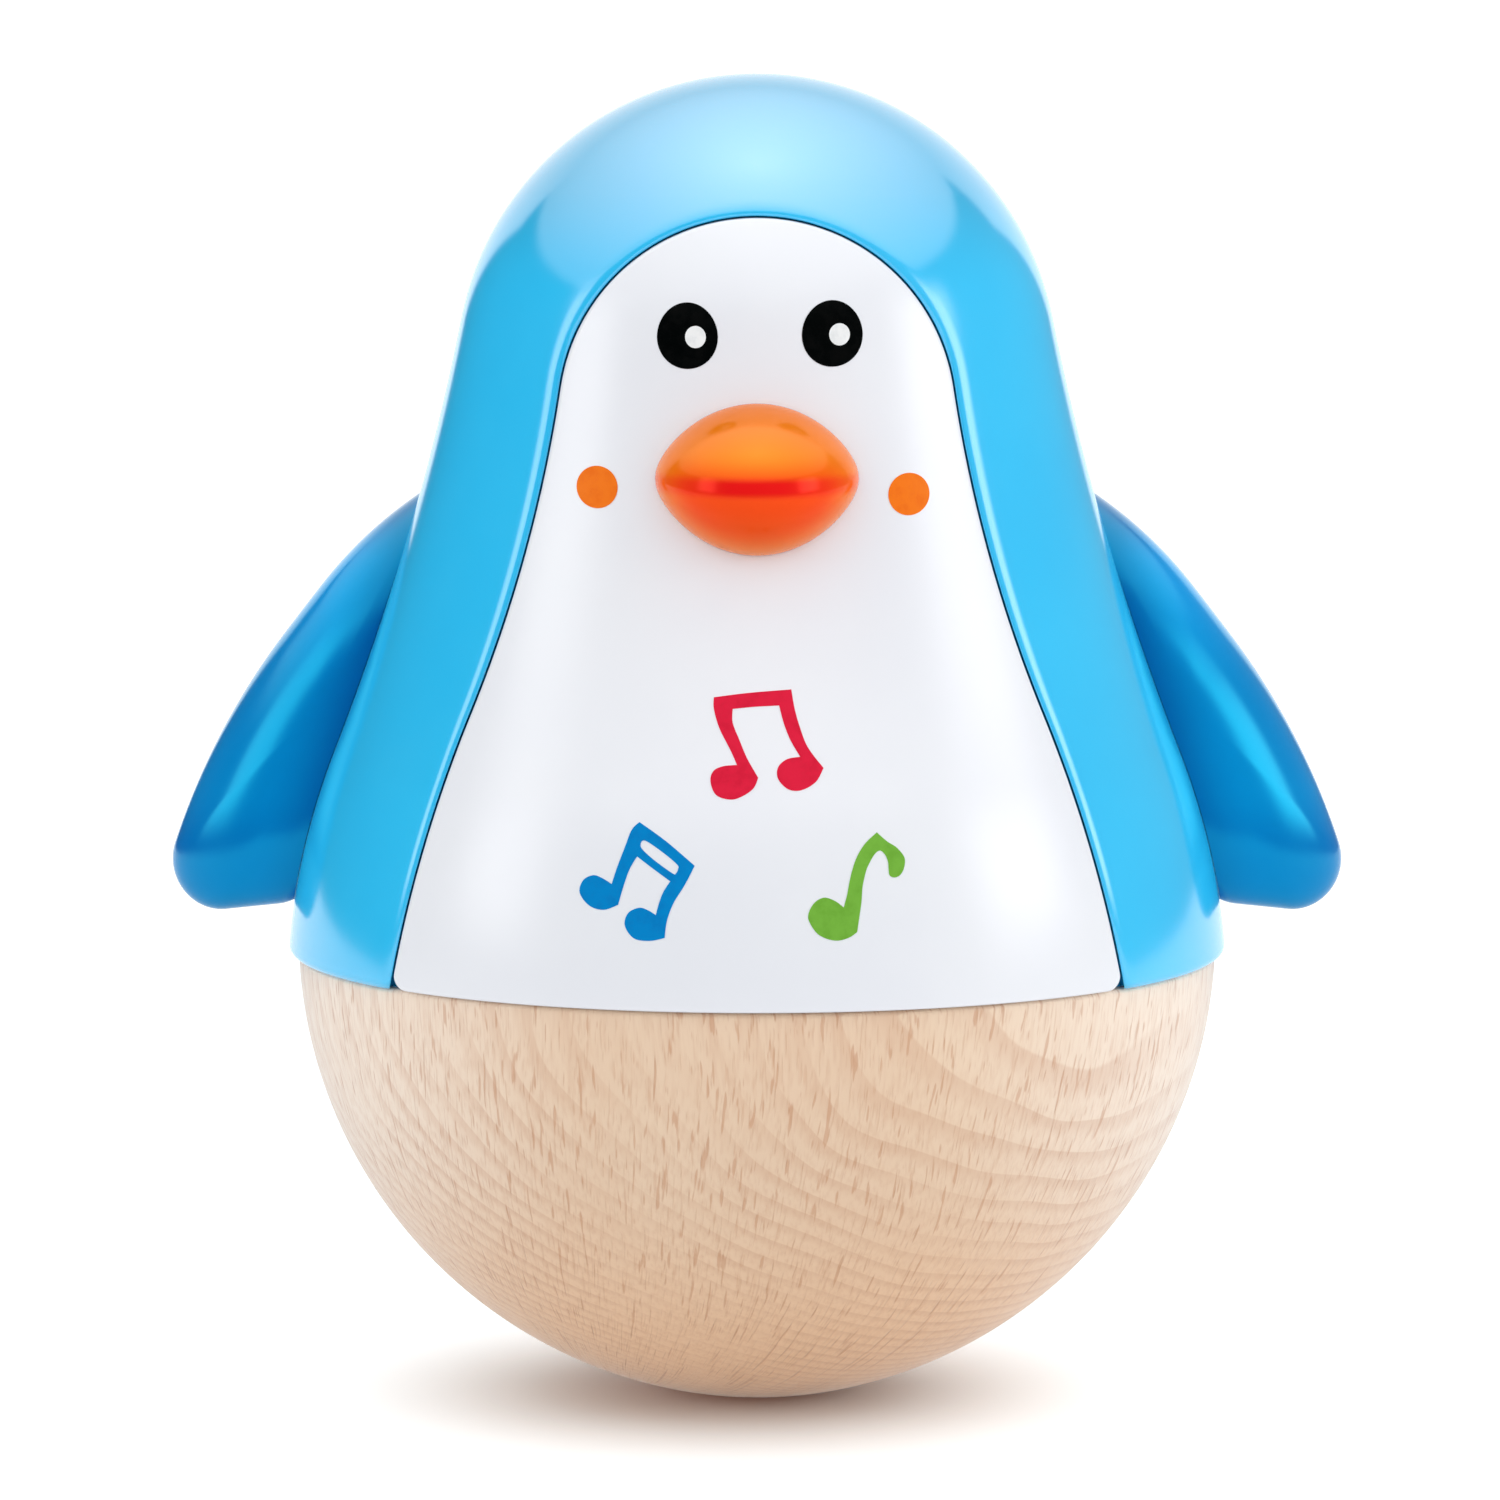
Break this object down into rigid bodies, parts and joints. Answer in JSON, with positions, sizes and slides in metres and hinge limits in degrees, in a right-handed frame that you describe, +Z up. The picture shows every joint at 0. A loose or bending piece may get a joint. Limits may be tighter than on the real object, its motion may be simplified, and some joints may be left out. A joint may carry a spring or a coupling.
{
  "type": "roly poly toy",
  "caption": "Penguin roly poly toy: a weighted turned wooden bowl under a moulded body with a front panel, beak and wings, and a chime with a swinging clapper inside.",
  "frame": {"origin": "middle of the flat foot under the bowl", "axes": "+Z up, the face looks along -Y, the toy's own left is +X"},
  "size_m": [0.1128, 0.0895, 0.1261],
  "materials": {
    "beech": "fine sanded, clear matt lacquer",
    "cast_weight": "as cast, oiled",
    "screw_steel": "zinc plated",
    "rod_steel": "bright drawn",
    "inner_plastic": "plain moulded",
    "shell_blue": "high gloss",
    "wing_blue": "high gloss",
    "panel_white": "high gloss, printed",
    "beak_orange": "high gloss",
    "bead_wood": "turned"
  },
  "bodies": {
    "root": {"wooden_base": "beech", "ballast_weight": "cast_weight", "ballast_screw": "screw_steel", "deck_plate": "inner_plastic", "deck_screws": "screw_steel", "body_shell": "shell_blue", "belly_panel": "panel_white", "beak": "beak_orange", "beak_screw": "screw_steel", "left_wing": "wing_blue", "right_wing": "wing_blue", "wing_screws": "screw_steel", "chime_plate": "inner_plastic", "chime_screws": "screw_steel", "tone_rod_1": "rod_steel", "tone_rod_2": "rod_steel", "tone_rod_3": "rod_steel", "tone_rod_4": "rod_steel", "chime_bridge": "inner_plastic", "bridge_screws": "screw_steel", "hanger_pin": "rod_steel"},
    "link": {"swivel_link": "inner_plastic"},
    "clapper": {"clapper_pin": "rod_steel", "clapper_stem": "inner_plastic", "clapper_ball": "bead_wood"}
  },
  "joints": [
    {"name": "link_swing", "type": "hinge", "parent": "root", "child": "link", "pos_m": [0, 0, 0.10361], "axis": [1, 0, 0], "range_deg": [-7, 7]},
    {"name": "clapper_swing", "type": "hinge", "parent": "link", "child": "clapper", "pos_m": [0, 0, 0.09611], "axis": [0, 1, 0], "range_deg": [-8.5, 8.5]}
  ]
}
